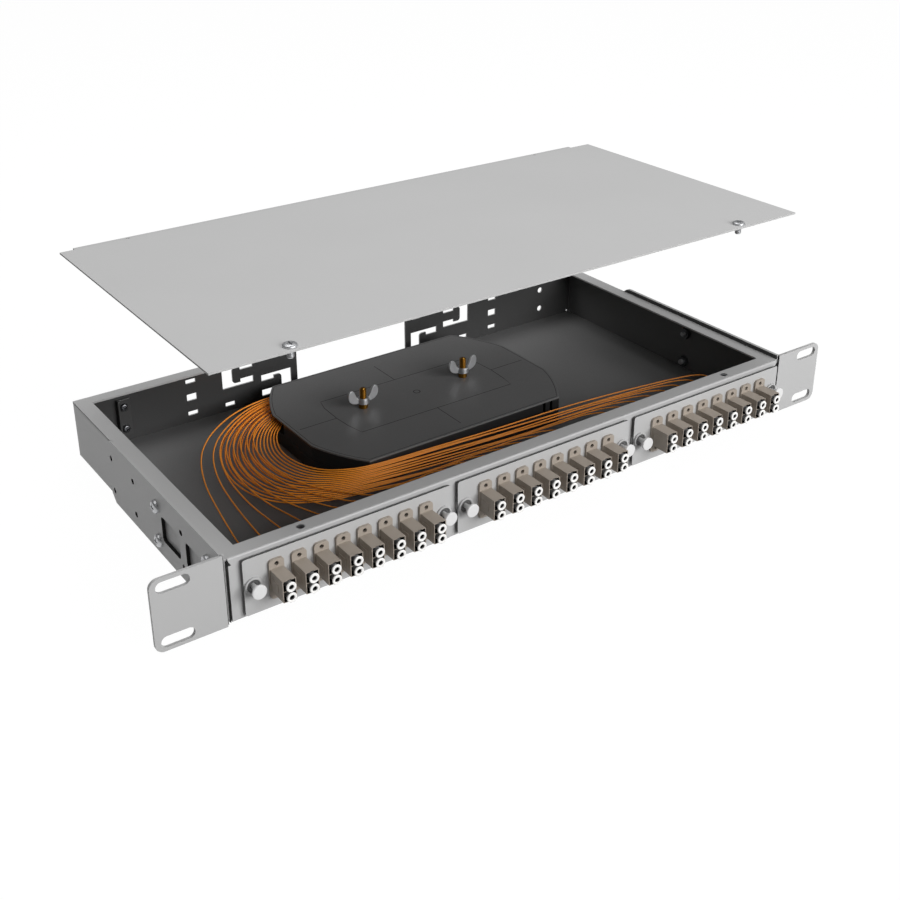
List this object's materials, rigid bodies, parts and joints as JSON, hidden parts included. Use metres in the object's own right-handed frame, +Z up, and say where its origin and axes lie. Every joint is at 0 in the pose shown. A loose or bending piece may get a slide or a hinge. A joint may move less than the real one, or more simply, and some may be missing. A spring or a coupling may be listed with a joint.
{
  "type": "fibre optic patch panel",
  "caption": "Low rack-mount fibre tray with a lift-off cover, snap-in duplex adapter plates in front, a splice cassette on the floor and orange fibres fanned out to the adapters.",
  "frame": {"origin": "midway between the four slots of the rack ears, on the front faces of the ears", "axes": "+X to the right seen from the front, +Y into the depth of the rack, +Z up; the front faces -Y"},
  "size_m": [0.4826, 0.2326, 0.1444],
  "materials": {
    "housing": "fine matt grey powder coat",
    "steel": "zinc plated",
    "brass": "plain",
    "adapter": "moulded beige",
    "cap": "soft white",
    "plug": "moulded beige",
    "grommet": "moulded nylon",
    "plunger": "moulded nylon",
    "cassette": "matt black",
    "sleeve": "shrunk tube",
    "fibre": "tight buffer, orange"
  },
  "bodies": {
    "chassis": {"tray": "housing", "front_panel": "housing", "rack_ear_left": "housing", "rack_ear_right": "housing", "ear_screws": "steel", "ear_nuts": "steel", "cover_rivet_nuts": "steel", "cable_clamp": "steel", "cable_clamp_screws": "steel", "splice_tray_lower": "cassette", "splice_tray_upper": "cassette", "cassette_lid": "cassette", "splice_holders": "cassette", "splice_sleeves": "sleeve", "cassette_stud_left": "brass", "cassette_stud_right": "brass", "fibres_left": "fibre", "fibres_centre": "fibre", "fibres_right": "fibre"},
    "cover": {"cover": "housing"},
    "cover_screw_left": {"cover_screw_left": "steel"},
    "cover_screw_right": {"cover_screw_right": "steel"},
    "plate_left": {"adapter_plate_left": "housing", "adapters_left": "adapter", "dust_caps_left": "cap", "fibre_plugs_left": "plug", "latch_grommets_left": "grommet"},
    "plate_centre": {"adapter_plate_centre": "housing", "adapters_centre": "adapter", "dust_caps_centre": "cap", "fibre_plugs_centre": "plug", "latch_grommets_centre": "grommet"},
    "plate_right": {"adapter_plate_right": "housing", "adapters_right": "adapter", "dust_caps_right": "cap", "fibre_plugs_right": "plug", "latch_grommets_right": "grommet"},
    "plunger_left_a": {"latch_plunger_left_a": "plunger"},
    "plunger_left_b": {"latch_plunger_left_b": "plunger"},
    "plunger_centre_a": {"latch_plunger_centre_a": "plunger"},
    "plunger_centre_b": {"latch_plunger_centre_b": "plunger"},
    "plunger_right_a": {"latch_plunger_right_a": "plunger"},
    "plunger_right_b": {"latch_plunger_right_b": "plunger"},
    "wing_nut_left": {"wing_nut_left": "steel"},
    "wing_nut_right": {"wing_nut_right": "steel"}
  },
  "joints": [
    {"name": "cover_lift", "type": "slide", "parent": "chassis", "child": "cover", "axis": [0, 0, 1], "range_m": [-0.1012, 0]},
    {"name": "cover_screw_left_turn", "type": "hinge", "parent": "cover", "child": "cover_screw_left", "pos_m": [-0.1555, 0.0054, 0.12], "axis": [0, 0, 1], "continuous": true},
    {"name": "cover_screw_right_turn", "type": "hinge", "parent": "cover", "child": "cover_screw_right", "pos_m": [0.1555, 0.0054, 0.12], "axis": [0, 0, 1], "continuous": true},
    {"name": "plate_left_pull", "type": "slide", "parent": "chassis", "child": "plate_left", "axis": [0, -1, 0], "range_m": [0, 0.03]},
    {"name": "plate_centre_pull", "type": "slide", "parent": "chassis", "child": "plate_centre", "axis": [0, -1, 0], "range_m": [0, 0.03]},
    {"name": "plate_right_pull", "type": "slide", "parent": "chassis", "child": "plate_right", "axis": [0, -1, 0], "range_m": [0, 0.03]},
    {"name": "plunger_left_a_pull", "type": "slide", "parent": "plate_left", "child": "plunger_left_a", "axis": [0, -1, 0], "range_m": [0, 0.0045]},
    {"name": "plunger_left_b_pull", "type": "slide", "parent": "plate_left", "child": "plunger_left_b", "axis": [0, -1, 0], "range_m": [0, 0.0045]},
    {"name": "plunger_centre_a_pull", "type": "slide", "parent": "plate_centre", "child": "plunger_centre_a", "axis": [0, -1, 0], "range_m": [0, 0.0045]},
    {"name": "plunger_centre_b_pull", "type": "slide", "parent": "plate_centre", "child": "plunger_centre_b", "axis": [0, -1, 0], "range_m": [0, 0.0045]},
    {"name": "plunger_right_a_pull", "type": "slide", "parent": "plate_right", "child": "plunger_right_a", "axis": [0, -1, 0], "range_m": [0, 0.0045]},
    {"name": "plunger_right_b_pull", "type": "slide", "parent": "plate_right", "child": "plunger_right_b", "axis": [0, -1, 0], "range_m": [0, 0.0045]},
    {"name": "wing_nut_left_turn", "type": "hinge", "parent": "chassis", "child": "wing_nut_left", "pos_m": [-0.0395, 0.1324, 0.005], "axis": [0, 0, 1], "continuous": true},
    {"name": "wing_nut_right_turn", "type": "hinge", "parent": "chassis", "child": "wing_nut_right", "pos_m": [0.0395, 0.1324, 0.005], "axis": [0, 0, 1], "continuous": true}
  ]
}
